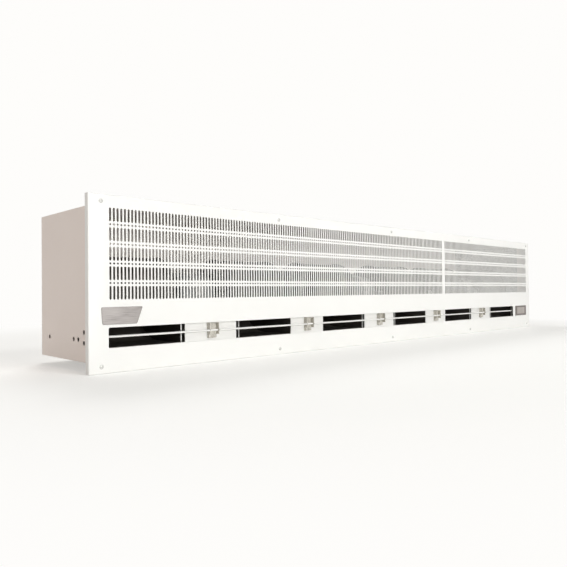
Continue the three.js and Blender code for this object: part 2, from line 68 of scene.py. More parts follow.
SLOT_PITCH = 7.642
SLOT_HALF_WIDTH = 2.2
SLOT_HALF_LENGTH = 13.2
SLOT_STRAIGHT = SLOT_HALF_LENGTH - SLOT_HALF_WIDTH
FIRST_SLOT = -888.3
LEFT_FIELD_SLOTS = 153
RIGHT_FIELD_FIRST = 155
RIGHT_FIELD_SLOTS = 80
ROW_PITCH = 37.05
ROW_HEIGHTS = 131.0 - ROW_PITCH * np.arange(5)
DOT_HEIGHTS = ROW_HEIGHTS[:4] - ROW_PITCH / 2
DOT_RADIUS = 2.1
ROW_BAND = 15.25

NOZZLE_LEFT, NOZZLE_RIGHT = -892.5, 787.0
NOZZLE_MID, NOZZLE_HALF = -102.2, 19.5
NOZZLE_CORNER = 2.8

BADGE_CORNERS = [(-907.5, -44.0), (-821.2, -44.0), (-833.5, -77.2), (-905.0, -77.2)]
RATING_CORNERS = [(805.0, -120.5), (899.0, -120.5), (899.0, -82.5), (805.0, -82.5)]
FIELD_CORNERS = [(820.0, -114.0), (885.0, -114.0), (885.0, -89.0), (820.0, -89.0)]

CABINET_RIGHT, CABINET_TOP = 914.5, 151.0
CABINET_FRONT, CABINET_BACK = -270.5, -1.5
FLANGE = 15.0
END_HOLE_RADIUS = 4.5
# Each hole's depth behind the face's front, and its height.
END_HOLE_PLACES = ((106.0, -108.0), (84.5, -108.0), (59.0, -93.0), (59.0, -114.0), (228.0, -109.0))
RIVET_Z = 143.0
RIVET_XS = np.linspace(-860, 860, 11)
HANGER_XS, HANGER_YS = (-600.0, 600.0), (-214.0, -56.0)

INNER_FLOOR = -149.5
PLATE_FRONT = -255.0
PLATE_TOP = -69.7
OUTLET_PLANE = -253.5
OUTLET_Z, OUTLET_HEIGHT = -100.7, 44.0

AXIS_Y, AXIS_Z = -157.0, -24.7
FAN_SET_XS = (-643.0, -40.5, 562.0)
HOUSING_OFFSET, HOUSING_WIDTH = 160.0, 165.0
WHEEL_OFFSET = 163.5
WINDOW_OFFSET, WINDOW_HALF = 155.75, 86.75
SCROLL_END, SCROLL_START = 98.0, 70.0
INLET_RADIUS = 50.0
WHEEL_RADIUS, WHEEL_INNER, WHEEL_LENGTH = 63.0, 51.0, 143.6
MOTOR_RADIUS, MOTOR_HALF = 52.0, 52.0
CRADLE_BED = 20.0 - MOTOR_RADIUS
SHAFT_RADIUS, SHAFT_HALF = 6.35, 181.5
SHAFT_BORE = SHAFT_RADIUS + SEAM_GAP

VANE_Y, VANE_Z = -262.0, OUTLET_Z
BRACKET_HALF = 12.5
BRACKET_XS = (-643.0, -341.75, -40.5, 260.75, 562.0)
SCREW_XS = (-907.0, -453.5, 0.0, 453.5, 907.0)
SCREW_Z = 155.0

# ---------------------------------------------------------------- meshes from arrays


def grid_quads(points, around_u=False, around_v=False):
    """Quads (n, 4, ...), given by their corners, between neighbours of a grid (u, v, ...)."""
    if around_u:
        points = np.concatenate([points, points[:1]], axis=0)
    if around_v:
        points = np.concatenate([points, points[:, :1]], axis=1)
    corners = [points[:-1, :-1], points[1:, :-1], points[1:, 1:], points[:-1, 1:]]
    return np.stack([c.reshape(-1, points.shape[-1]) for c in corners], axis=1)


def outward(quads):
    """The quads of one closed shell, turned so that the volume they enclose is positive."""
    a, b, c, d = (quads[:, i] for i in range(4))
    volume = np.einsum("ij,ij->i", a, np.cross(b, c)) + np.einsum("ij,ij->i", a, np.cross(c, d))
    return quads if volume.sum() > 0 else quads[:, ::-1]


def moved(quads, offset):
    """Quads shifted by an offset in X, Y and Z."""
    return quads + np.asarray(offset, float)


def build(name, quads, body, material, replaced, sharp=40.0):
    """Welds quads into one mesh, makes its object and hands it to the frame.

    Corners that round to the same thousandth of a millimetre become one point, and a quad
    that keeps fewer than three different corners is left out.
    """
    flat = quads.reshape(-1, 3)
    keys, index = np.unique(np.round(flat, 3), axis=0, return_inverse=True)
    corner = index.reshape(-1, 4)
    keep = corner != np.roll(corner, -1, axis=1)
    keep &= keep.sum(axis=1, keepdims=True) >= 3
    sizes = keep.sum(axis=1)
    sizes = sizes[sizes > 0]
    loops = corner[keep]
    mesh = bpy.data.meshes.new(name)
    mesh.vertices.add(len(keys))
    mesh.vertices.foreach_set("co", (keys * MILLIMETRE).astype(np.float32).ravel())
    mesh.loops.add(len(loops))
    mesh.loops.foreach_set("vertex_index", loops.astype(np.int32))
    mesh.polygons.add(len(sizes))
    mesh.polygons.foreach_set("loop_start", (np.cumsum(sizes) - sizes).astype(np.int32))
    mesh.update(calc_edges=True)
    mesh.validate()
    mesh.polygons.foreach_set("use_smooth", np.ones(len(mesh.polygons), bool))
    mesh.set_sharp_from_angle(angle=np.radians(sharp))
    mesh.materials.append(material)
    piece = bpy.data.objects.new(name, mesh)
    bpy.context.scene.collection.objects.link(piece)
    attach(piece, body)
    if replaced:
        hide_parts(*replaced)


AXES = {"X": (1, 2, 0), "Y": (0, 2, 1), "Z": (0, 1, 2)}


def in_space(section, along, axis):
    """Points (..., 2) of a section put at one height along an axis, in XYZ order."""
    section = np.asarray(section, float)
    space = np.empty(section.shape[:-1] + (3,))
    first, second, third = AXES[axis]
    space[..., first] = section[..., 0]
    space[..., second] = section[..., 1]
    space[..., third] = along
    return space


def ribbon(one_side, other_side, low, high, axis="X"):
    """Closed bar: the strip between two section curves of equal length, drawn along an axis."""
    loop = np.concatenate([one_side, np.asarray(other_side)[::-1]])
    sides = grid_quads(
        np.stack([in_space(loop, low, axis), in_space(loop, high, axis)]), around_v=True
    )
    caps = [
        grid_quads(np.stack([in_space(one_side, at, axis), in_space(other_side, at, axis)]))
        for at in (low, high)
    ]
    return outward(np.concatenate([sides, caps[0][:, ::-1], caps[1]]))


def stack(loops):
    """Closed shell through a pile of loops (k, n, 3), shut by a fan at each end."""
    loops = np.asarray(loops, float)
    ends = []
    for loop, turn in ((loops[0], 1), (loops[-1], -1)):
        centre = np.broadcast_to(loop.mean(axis=0), loop.shape)
        following = np.roll(loop, -1, axis=0)
        fan = np.stack([centre, loop, following, following], axis=1)
        ends.append(fan if turn > 0 else fan[:, ::-1])
    return outward(np.concatenate([grid_quads(loops, around_v=True)] + ends))


def turned(profile, centre, count, axis="X", closed=False):
    """Revolves a profile of (along, radius) pairs about an axis through a centre."""
    profile = np.asarray(profile, float)
    angle = np.arange(count) * 2 * np.pi / count
    radius = profile[:, 1:]
    section = np.stack([radius * np.cos(angle), radius * np.sin(angle)], axis=-1)
    along = np.broadcast_to(profile[:, :1], section.shape[:2])
    points = in_space(section, along, axis) + np.asarray(centre, float)
    return outward(grid_quads(points, around_u=closed, around_v=True))


def arc(centre, radius, start, end, count):
    """Points on a circle of a plane, angles in degrees."""
    angle = np.radians(np.linspace(start, end, count))
    return np.stack(
        [centre[0] + radius * np.cos(angle), centre[1] + radius * np.sin(angle)], axis=-1
    )


def chain(*parts):
    """Single points and lists of points joined into one list."""
    return np.concatenate([np.atleast_2d(np.asarray(part, float)) for part in parts])


def rounded_polygon(corners, radius, count=5):
    """Corner points of a convex polygon replaced by arcs, as points along quadratic curves."""
    corners = np.asarray(corners, float)
    before, after = np.roll(corners, 1, axis=0), np.roll(corners, -1, axis=0)
    share = np.linspace(0, 1, count)[None, :, None]
    pull = [
        corners + radius * (other - corners) / np.linalg.norm(other - corners, axis=1)[:, None]
        for other in (before, after)
    ]
    a, b, c = pull[0][:, None], corners[:, None], pull[1][:, None]
    return ((1 - share) ** 2 * a + 2 * share * (1 - share) * b + share**2 * c).reshape(-1, 2)


# ---------------------------------------------------------------- pierced sheets


def sheet_quads(plan, front, back):
    """Plan quads (n, 4, 2) laid on the front and, turned over, on the back of a sheet."""
    return np.concatenate([in_space(plan, front, "Y"), in_space(plan[:, ::-1], back, "Y")])


def pierced(centres, border, core, radius, front, back):
    """Sheet between a ring of border offsets and a hole, for many centres at once.

    Each border point is joined to the nearest point of the hole, which is a rectangle of
    half sizes core grown outwards by radius; the hole's wall joins front to back.
    """
    border = np.asarray(border, float)
    nearest = np.clip(border, -np.asarray(core), np.asarray(core))
    away = border - nearest
    hole = nearest + radius * away / np.linalg.norm(away, axis=1)[:, None]
    centres = np.asarray(centres, float)[:, None]
    outer, inner = centres + border, centres + hole
    outer_next, inner_next = np.roll(outer, -1, axis=1), np.roll(inner, -1, axis=1)
    plan = np.stack([outer, outer_next, inner_next, inner], axis=2).reshape(-1, 4, 2)
    wall = np.stack(
        [
            in_space(inner, front, "Y"),
            in_space(inner_next, front, "Y"),
            in_space(inner_next, back, "Y"),
            in_space(inner, back, "Y"),
        ],
        axis=2,
    )
    return np.concatenate([sheet_quads(plan, front, back), wall.reshape(-1, 4, 3)])


def crossings(xs, zs):
    """Grid (u, v, 2) of the points where the lines at xs and zs cross."""
    return np.stack(np.meshgrid(xs, zs, indexing="ij"), axis=-1)


def cells(xs, zs):
    """Plan quads of every cell between sorted lines."""
    return grid_quads(crossings(xs, zs))


def ring_of(xs, zs):
    """Points once round a rectangle, along its bottom, up, back over the top and down."""
    return chain(
        np.stack([xs[:-1], np.full(len(xs) - 1, zs[0])], axis=1),
        np.stack([np.full(len(zs) - 1, xs[-1]), zs[:-1]], axis=1),
        np.stack([xs[:0:-1], np.full(len(xs) - 1, zs[-1])], axis=1),
        np.stack([np.full(len(zs) - 1, xs[0]), zs[:0:-1]], axis=1),
    )


def slot_centres(first, count):
    """Places along X of a run of slots, counted from the grille's left end."""
    return FIRST_SLOT + SLOT_PITCH * (first + np.arange(count))


def grille_cells(columns, front, back):
    """Sheet round the slots and the dots of all columns, each in a cell of its own."""
    half, band = SLOT_PITCH / 2, ROW_PITCH / 2 - ROW_BAND
    slot_border = [
        (half, -SLOT_STRAIGHT), (half, SLOT_STRAIGHT), (half, ROW_BAND), (0, ROW_BAND),
        (-half, ROW_BAND), (-half, SLOT_STRAIGHT), (-half, -SLOT_STRAIGHT), (-half, -ROW_BAND),
        (0, -ROW_BAND), (half, -ROW_BAND),
    ]
    dot_border = [
        (half, 0), (half, band), (0, band), (-half, band), (-half, 0), (-half, -band),
        (0, -band), (half, -band),
    ]
    slots = crossings(columns, ROW_HEIGHTS).reshape(-1, 2)
    dots = crossings(columns, DOT_HEIGHTS).reshape(-1, 2)
    return [
        pierced(slots, slot_border, (POINT, SLOT_STRAIGHT), SLOT_HALF_WIDTH, front, back),
        pierced(dots, dot_border, (POINT, POINT), DOT_RADIUS, front, back),
    ]


def folded_rim(rim, right, top):
    """Lip folded back from the face: a rounded profile swept once round the rim's points."""
    reach = np.stack([np.abs(rim[:, 0]) >= right, np.abs(rim[:, 1]) >= top], axis=1) * np.sign(rim)
    lip_back = FRONT + LIP_DEPTH
    inner_bend = RIM_BEND - FACE_SHEET
    profile = chain(
        arc((0, FRONT + RIM_BEND), RIM_BEND, -90, 0, 5),
        (RIM_BEND, lip_back),
        (inner_bend, lip_back),
        arc((0, FRONT + RIM_BEND), inner_bend, 0, -90, 4),
    )
    flat = rim[None] + profile[:, :1, None] * reach[None]
    swept = in_space(flat, np.broadcast_to(profile[:, 1:], flat.shape[:2]), "Y")
    return grid_quads(swept, around_v=True)


def face_panel():
    """Fine face: a flat lattice whose cells hold slots and dots, a nozzle, a folded rim."""
    front, back = FRONT, FRONT + FACE_SHEET
    right, top = FACE_RIGHT - RIM_BEND, FACE_TOP - RIM_BEND
    left_margin, right_margin, high_margin = 5.0, 4.0, 6.0
    fields = [slot_centres(0, LEFT_FIELD_SLOTS), slot_centres(RIGHT_FIELD_FIRST, RIGHT_FIELD_SLOTS)]
    half = SLOT_PITCH / 2
    field_lines = [
        np.concatenate([field[:1] - half, np.stack([field, field + half], axis=1).ravel()])
        for field in fields
    ]
    ring_left = NOZZLE_LEFT - left_margin
    all_lines = np.concatenate([[-right, ring_left], field_lines[0], field_lines[1], [right]])
    ring_right = all_lines[all_lines > NOZZLE_RIGHT + right_margin][0]
    row_lines = [ROW_HEIGHTS + s for s in (-ROW_BAND, -SLOT_STRAIGHT, SLOT_STRAIGHT, ROW_BAND)]
    grille_lines = np.sort(np.concatenate(row_lines + [DOT_HEIGHTS]))
    pieces = grille_cells(np.concatenate(fields), front, back)
    margins = [
        [-right, ring_left, field_lines[0][0]],
        [field_lines[0][-1], field_lines[1][0]],
        [field_lines[1][-1], right],
    ]
    ring_bottom = NOZZLE_MID - NOZZLE_HALF - high_margin
    ring_top = NOZZLE_MID + NOZZLE_HALF + high_margin
    ring_side = np.linspace(ring_bottom, ring_top, 9)
    bare = [(lines, grille_lines) for lines in margins]
    bare += [
        (all_lines, [grille_lines[-1], top]),
        (all_lines, [ring_top, grille_lines[0]]),
        (all_lines, [-top, ring_bottom]),
        (all_lines[all_lines <= ring_left], ring_side),
        (all_lines[all_lines >= ring_right], ring_side),
    ]
    pieces += [sheet_quads(cells(xs, zs), front, back) for xs, zs in bare]
    middle = np.array([(NOZZLE_LEFT + NOZZLE_RIGHT) / 2, NOZZLE_MID])
    along = all_lines[(all_lines >= ring_left) & (all_lines <= ring_right)]
    core = ((NOZZLE_RIGHT - NOZZLE_LEFT) / 2 - NOZZLE_CORNER, NOZZLE_HALF - NOZZLE_CORNER)
    border = ring_of(along, ring_side) - middle
    pieces.append(pierced([middle], border, core, NOZZLE_CORNER, front, back))
    sides = np.concatenate([[-top], ring_side, grille_lines, [top]])
    pieces.append(folded_rim(ring_of(all_lines, sides), right, top))
    return np.concatenate(pieces)


def end_panel(holes):
    """Left end sheet with round holes and a flange folded out behind the face's rim."""
    bend, reach = 2.4, 7.0
    steps = np.array([-reach, -4.5, -1.5, 1.5, 4.5, reach])
    lines_y, lines_z = {CABINET_FRONT + bend, CABINET_BACK}, {-CABINET_TOP, CABINET_TOP}
    for y, z in holes:
        lines_y |= set(y + steps)
        lines_z |= set(z + steps)
    ys, zs = np.array(sorted(lines_y)), np.array(sorted(lines_z))
    outer, inner = -CABINET_RIGHT, SHEET - CABINET_RIGHT
    plan = cells(ys, zs)
    middle = plan.mean(axis=1)
    solid = np.ones(len(plan), bool)
    pieces = []
    for y, z in holes:
        solid &= (np.abs(middle - (y, z)) > reach).any(axis=1)
        border = ring_of(ys[np.abs(ys - y) <= reach] - y, zs[np.abs(zs - z) <= reach] - z)
        pieces.append(pierced([(y, z)], border, (POINT, POINT), END_HOLE_RADIUS, outer, inner))
    pieces.append(sheet_quads(plan[solid], outer, inner))
    wall = np.concatenate(pieces)[..., [1, 0, 2]]

    def edge(edge_ys, edge_zs):
        line = np.stack(np.broadcast_arrays(edge_ys, edge_zs), axis=1)
        return grid_quads(np.stack([in_space(line, x, "X") for x in (outer, inner)]))

    edges = [edge(ys, -CABINET_TOP), edge(ys, CABINET_TOP)[:, ::-1], edge(CABINET_BACK, zs)]
    corner, tip = (outer - bend, CABINET_FRONT + bend + SHEET), -CABINET_RIGHT - FLANGE
    outside = chain(arc(corner, bend, 0, -90, 6), (tip, CABINET_FRONT + SHEET))
    inside = chain(arc(corner, bend + SHEET, 0, -90, 6), (tip, CABINET_FRONT))
    flange = ribbon(outside, inside, -CABINET_TOP, CABINET_TOP, "Z")
    return np.concatenate([outward(np.concatenate([wall] + edges)), flange])


# ---------------------------------------------------------------- fan sets


def scroll_curve(wall, count=72):
    """Open section from the outlet's floor round the back and over to the cut-off.

    The radius shrinks evenly with the angle from SCROLL_END to SCROLL_START, both grown by
    wall, measured from straight down and turning towards the back.
    """
    outlet_top = -SCROLL_END + OUTLET_HEIGHT + wall
    last = 2 * np.pi - np.arccos(-outlet_top / (SCROLL_START + wall))
    share = np.linspace(0, 1, count)
    radius = SCROLL_END + wall - share * (SCROLL_END - SCROLL_START)
    curl = np.stack([radius * np.sin(share * last), -radius * np.cos(share * last)], axis=1)
    mouth = OUTLET_PLANE - AXIS_Y
    low = np.stack([np.linspace(mouth, curl[0, 0], 8)[:-1], np.full(7, curl[0, 1])], axis=1)
    high = np.stack([np.linspace(curl[-1, 0], mouth, 6)[1:], np.full(5, outlet_top)], axis=1)
    return chain(low, curl, high)


def blower_housing():
    """Scroll wrapper between two side plates, each with a flared round inlet."""
    half = HOUSING_WIDTH / 2
    shells = [ribbon(scroll_curve(SHEET), scroll_curve(0.0), SHEET - half, half - SHEET)]
    seam_width, flare = 2.5, 4.0
    seam = scroll_curve(SHEET + seam_width)
    mouth = np.linspace(seam[-1], seam[0], 8)[1:-1]
    rim = chain(seam, mouth)
    angle = np.arctan2(rim[:, 1], rim[:, 0])
    direction = np.stack([np.cos(angle), np.sin(angle)], axis=1)
    curve = arc((INLET_RADIUS + flare, -flare), flare, 180, 90, 6)
    inner_curve = arc((INLET_RADIUS + flare, -flare), flare - SHEET, 90, 180, 5)
    rows = [direction * r for r in curve[:, 0]] + [rim, rim]
    rows += [direction * r for r in inner_curve[:, 0]]
    depths = list(curve[:, 1]) + [0.0, -SHEET] + list(inner_curve[:, 1])
    section = np.stack(rows)
    for side in (-1, 1):
        along = side * (half + np.array(depths))[:, None]
        points = in_space(section, np.broadcast_to(along, section.shape[:2]), "X")
        shells.append(outward(grid_quads(points, around_u=True, around_v=True)))
    return np.concatenate(shells)


def blower_wheel(count=42):
    """Forward-curved strips between two rolled end rings and a middle disc on a hub.

    A strip's angle grows with its share of the way out and, more strongly, with the square
    of that share, so its outer edge leans into the turn.
    """
    half, step, ring_length = WHEEL_LENGTH / 2, 0.8, 5.0
    share = np.linspace(0, 1, 6)
    radius = np.linspace(WHEEL_INNER + step / 2, WHEEL_RADIUS - step, 6)
    lean = 0.03 * share + 0.13 * share**2
    half_thickness = 0.35 / radius
    shells = []
    for start in np.arange(count) * 2 * np.pi / count:
        sides = [
            np.stack([radius * np.cos(start + turn), radius * np.sin(start + turn)], axis=1)
            for turn in (lean - half_thickness, lean + half_thickness)
        ]
        shells.append(ribbon(sides[0], sides[1], step - half, half - step))
    end_ring = np.array([
        (half - 1.4, WHEEL_INNER), (half - 0.2, WHEEL_INNER), (half, WHEEL_INNER + 0.6),
        (half, WHEEL_RADIUS - step), (half - 0.6, WHEEL_RADIUS),
        (half - ring_length, WHEEL_RADIUS), (half - ring_length, WHEEL_RADIUS - 0.6),
        (half - 1.4, WHEEL_RADIUS - step),
    ])
    for side in (-1, 1):
        shells.append(turned(end_ring * (side, 1), (0, 0, 0), 56, closed=True))
    hub = np.array([(13.0, SHAFT_BORE), (13.0, 12.4), (12.4, 13.0), (1.4, 13.0), (1.0, 13.6)])
    dish = np.array([(0.0, 30.0), (-1.2, 33.0), (-1.2, 52.0), (0.0, 54.0), (0.0, 62.4)])
    disc = chain(hub * (-1, 1), dish - (1, 0), dish[::-1] + (1, 0), hub[::-1])
    shells.append(turned(disc, (0, 0, 0), 56, closed=True))
    return np.concatenate(shells)


def motor():
    """Rolled shell between two domed end bells, with seams, bosses and through bolts."""
    half, r = MOTOR_HALF, MOTOR_RADIUS
    boss_end, seam_depth = half + 7.0, 1.0
    bolt_circle, bolt_radius = 43.0, 3.4
    one_end = [
        (-boss_end, SHAFT_BORE), (-boss_end, 15.8), (1.2 - boss_end, 17.0), (-half - 1.2, 17.0),
        (-half, 18.2), (-half + 0.6, 30.0), (-half + 2.5, 38.0), (-half + 5.5, 44.5),
        (-half + 9.5, 49.6), (-half + 13.0, r - 0.6), (-half + 17.0, r), (-half + 20.0, r),
        (-half + 20.0, r - seam_depth), (-half + 21.0, r - seam_depth), (-half + 21.0, r),
    ]
    profile = np.array(one_end + [(-x, radius) for x, radius in one_end[::-1]])
    shells = [turned(profile, (0, 0, 0), 72, closed=True)]
    bolt = np.array([
        (half - 6.0, ON_AXIS), (half - 6.0, bolt_radius), (half + 0.4, bolt_radius),
        (half + 1.0, bolt_radius - 0.6), (half + 1.0, ON_AXIS),
    ])
    for side in (-1, 1):
        for angle in np.radians([45, 135, 225, 315]):
            centre = (0, bolt_circle * np.cos(angle), bolt_circle * np.sin(angle))
            shells.append(turned(bolt * (side, 1), centre, 12, closed=True))
    return np.concatenate(shells)


def motor_cradle():
    """Base plate and two uprights hollowed to the motor's round."""
    half, thick, floor = 42.0, 2.0, INNER_FLOOR - AXIS_Z
    bed_half, foot_half = 50.0, 60.0
    gap = MOTOR_RADIUS + SEAM_GAP
    start = np.degrees(np.arcsin(-CRADLE_BED / gap))
    hollow = arc((0, 0), gap, 180 + start, 360 - start, 24)
    curve = chain((-bed_half, CRADLE_BED), hollow, (bed_half, CRADLE_BED))
    foot_xs = np.linspace(-foot_half, foot_half, len(curve))
    foot = np.stack([foot_xs, np.full(len(curve), floor)], axis=1)
    base = [(-foot_half, floor), (foot_half, floor)]
    return np.concatenate([
        ribbon(curve, foot, -half, thick - half),
        ribbon(curve, foot, half - thick, half),
        ribbon(base, np.array(base) + (0, thick), thick - half, half - thick),
    ])


def motor_strap():
    """Steel band over the motor with two ears turned out onto the cradle."""
    half_width, thick, ear = 11.0, 1.6, 16.0
    bed, inner = CRADLE_BED + SEAM_GAP, MOTOR_RADIUS + SEAM_GAP
    low = np.degrees(np.arcsin(bed / inner))
    high = np.degrees(np.arcsin((bed + thick) / (inner + thick)))
    end = inner * np.cos(np.radians(low)) + ear
    under = chain((end, bed), arc((0, 0), inner, low, 180 - low, 48), (-end, bed))
    over = chain(
        (end, bed + thick), arc((0, 0), inner + thick, high, 180 - high, 48), (-end, bed + thick)
    )
    return ribbon(under, over, -half_width, half_width)


def motor_shaft():
    """Round bar through the motor with a chamfer at each end."""
    end, r, chamfer = SHAFT_HALF, SHAFT_RADIUS, 0.8
    one_end = [(-end, ON_AXIS), (-end, r - chamfer), (chamfer - end, r)]
    return turned(one_end + [(-x, radius) for x, radius in one_end[::-1]], (0, 0, 0), 32)


# ---------------------------------------------------------------- nozzle fittings


def nozzle_plate(left, right):
    """Flat plate with a round-cornered window before each blower and two folded edges."""
    front, back = PLATE_FRONT, PLATE_FRONT + SHEET
    half_height, corner, margin, bend, foot_depth = OUTLET_HEIGHT / 2, 1.5, 5.0, 2.0, 12.0
    centres = np.array([x + side * WINDOW_OFFSET for x in FAN_SET_XS for side in (-1, 1)])
    across = np.array([WINDOW_HALF - corner, WINDOW_HALF, WINDOW_HALF + margin])
    up = np.array([half_height - corner, half_height, half_height + margin])
    across, up = (np.concatenate([-line[::-1], line]) for line in (across, up))
    xs = np.sort(np.concatenate([[left, right], (centres[:, None] + across).ravel()]))
    zs = np.concatenate([[INNER_FLOOR], OUTLET_Z + up, [PLATE_TOP]])
    plan = cells(xs, zs)
    where = plan.mean(axis=1)
    beside = np.abs(where[:, :1] - centres).min(axis=1) > across[-1]
    beyond = np.abs(where[:, 1] - OUTLET_Z) > up[-1]
    core = (WINDOW_HALF - corner, half_height - corner)
    windows = [(x, OUTLET_Z) for x in centres]
    window = pierced(windows, ring_of(across, up), core, corner, front, back)
    edge = ring_of(xs, zs)
    rim = grid_quads(np.stack([in_space(edge, y, "Y") for y in (front, back)]), around_v=True)
    flat = outward(np.concatenate([sheet_quads(plan[beside | beyond], front, back), window, rim]))
    fold = (back - bend, PLATE_TOP - bend)
    upper = chain((CABINET_FRONT, PLATE_TOP), arc(fold, bend, 90, 0, 6))
    under = chain((CABINET_FRONT, PLATE_TOP - SHEET), arc(fold, bend - SHEET, 90, 0, 6))
    base = np.array([(back - 0.4, INNER_FLOOR), (back + foot_depth, INNER_FLOOR)])
    foot = ribbon(base, base + (0, SHEET), left, right)
    return np.concatenate([flat, ribbon(upper, under, left, right), foot])


def mouth_edges():
    """Bare folded edge of each housing's motor-side plate, an L on its side at the mouth."""
    thick, tongue, half_height = 0.8, 1.8, 21.3
    behind, mouth, front = -246.0, -253.3, -253.7
    shells = []
    for x in FAN_SET_XS:
        for side in (-1, 1):
            wall = x + side * (HOUSING_OFFSET - HOUSING_WIDTH / 2 - SEAM_GAP)
            outside, tip = wall - side * thick, wall + side * tongue
            outer = [(wall, behind), (wall, mouth), (tip, mouth)]
            inner = [(outside, behind), (outside, front), (tip, front)]
            shells.append(ribbon(outer, inner, OUTLET_Z - half_height, OUTLET_Z + half_height, "Z"))
    return np.concatenate(shells)


def vane_section():
    """Rounded nose at the front tapering to a thin tail, as (depth, height) points."""
    front, tail, nose, half_tail = -6.5, 5.5, 1.8, 0.7
    return chain(
        arc((front + nose, 0), nose, 90, 270, 9),
        (1.8, -1.75), (tail, -half_tail), (tail, half_tail), (1.8, 1.75),
    )


def air_vane():
    """Blades between the brackets, strung on one thin rod."""
    side_gap, bracket_gap, crease = 3.0, 1.5, 0.01
    rod_radius, rod_inset = 2.2, 1.0
    section = vane_section() + (VANE_Y, VANE_Z)
    left, right, stop = NOZZLE_LEFT + side_gap, NOZZLE_RIGHT - side_gap, BRACKET_HALF + bracket_gap
    starts = [left] + [x + stop for x in BRACKET_XS]
    ends = [x - stop for x in BRACKET_XS] + [right]
    shells = [
        stack([in_space(section, x, "X") for x in (low, low + crease, high - crease, high)])
        for low, high in zip(starts, ends)
    ]
    rod_left, rod_right = left + rod_inset, right - rod_inset
    rod = [
        (rod_left, ON_AXIS), (rod_left, rod_radius), (rod_right, rod_radius), (rod_right, ON_AXIS),
    ]
    shells.append(turned(rod, (0, VANE_Y, VANE_Z), 20))
    return np.concatenate(shells)


def vane_bracket():
    """Channel bent from strip: ears on a back, a bridge above, a foot with a screw below."""
    half, thick, bend = BRACKET_HALF, 1.5, 2.6
    front, back = PLATE_FRONT - 11.8, PLATE_FRONT - SEAM_GAP
    top, foot_top, foot_half, screw_drop = 17.0, -9.0, 10.0, 13.0
    left_bend, right_bend = (bend - half, back - bend), (half - bend, back - bend)
    outer, inner = (
        chain(
            (inset - half, front), arc(left_bend, bend - inset, 180, 90, 6),
            arc(right_bend, bend - inset, 90, 0, 6), (half - inset, front),
        )
        for inset in (0.0, thick)
    )
    shells = [ribbon(outer, inner, foot_top, top - thick, "Z")]
    web = rounded_polygon([(-half, -top), (half, -top), (half, top), (-half, top)], 1.6, 4)
    layers = ((1, back), (1, back - 1.0), (0.985, back - 1.2))
    shells.append(stack([in_space(web * share, y, "Y") for share, y in layers]))
    roof = rounded_polygon([(-half, front), (half, front), (half, back), (-half, back)], 1.0, 4)
    shells.append(stack([in_space(roof, z, "Z") for z in (top - thick, top)]))
    foot = [(-foot_half, -top), (foot_half, -top), (foot_half, foot_top), (-foot_half, foot_top)]
    pad = rounded_polygon(foot, 1.5, 4)
    shells.append(stack([in_space(pad, y, "Y") for y in (back - 0.6, back - 3.6, back - 4.0)]))
    lifted = moved(np.concatenate(shells), (0, 0, VANE_Z))
    head = moved(pan_head(3.6, 2.0), (0, back - 3.9, VANE_Z - screw_drop))
    return np.concatenate([lifted, head])


def pan_head(radius, height, rings=14, count=48):
    """Domed screw head facing -Y with a cross recess.

    The dome falls from its full height by 0.72 of it times the fourth power of the share of
    the radius. The recess takes away 0.62 of the height inside two crossing bars, and fades
    out over a bar's edge and towards the rim.
    """
    share = np.linspace(0.02, 1, rings)[:, None]
    angle = (np.arange(count) * 2 * np.pi / count)[None]
    x, z = radius * share * np.cos(angle), radius * share * np.sin(angle)
    dome = height * (1 - 0.72 * share**4)
    bar, reach = 0.17 * radius, 0.62 * radius
    across = np.minimum(np.abs(x), np.abs(z))
    along = np.maximum(np.abs(x), np.abs(z))
    inside = np.clip((bar - across) / (0.08 * radius), 0, 1)
    inside = inside * np.clip((reach - along) / (0.12 * radius), 0, 1)
    top = np.stack([x, 0.62 * height * inside - dome, z], axis=-1)
    skirt = np.stack([x[-1], 0 * x[-1], z[-1]], axis=-1)
    return stack(np.concatenate([top, skirt[None]]))


def back_rivets():
    """Low domed rivet heads in two rows along the back panel's long edges."""
    rivet = pan_head(3.4, 0.9, 5, 20) * (1, -1, 1)
    places = [(x, -HEAD_SHIFT, z) for z in (-RIVET_Z, RIVET_Z) for x in RIVET_XS]
    return np.concatenate([outward(moved(rivet, place)) for place in places])


def hanger_nuts():
    """Rings of four pressed-in nuts on the top panel and, apart, a dark disc sunk in each nut's
    hole: painted shade standing in for the dark hole.
    """
    ring = [(-0.4, 4.2), (-0.4, 9.0), (0.5, 9.0), (0.9, 8.4), (0.9, 5.0), (0.5, 4.2)]
    shade_disc = [(-0.4, ON_AXIS), (-0.4, 4.3), (0.25, 4.3), (0.25, ON_AXIS)]
    places = [(x, y, CABINET_TOP) for x in HANGER_XS for y in HANGER_YS]
    rings = [turned(ring, place, 36, "Z", closed=True) for place in places]
    shade_discs = [turned(shade_disc, place, 24, "Z") for place in places]
    return np.concatenate(rings), np.concatenate(shade_discs)


def plate(corners, radius, layers):
    """Flat plate on the face with rounded corners.

    Each layer is the share of the full outline and its height above the face.
    """
    outline = rounded_polygon(corners, radius)
    middle = outline.mean(axis=0)
    return stack([
        in_space(middle + (outline - middle) * share, FRONT - height, "Y")
        for share, height in layers
    ])


# ---------------------------------------------------------------- materials


def linear(*srgb):
    """Screen colour to the linear colour that a shader takes."""
    c = np.array(srgb, float)
    return tuple(np.where(c <= 0.04045, c / 12.92, ((c + 0.055) / 1.055) ** 2.4)) + (1.0,)


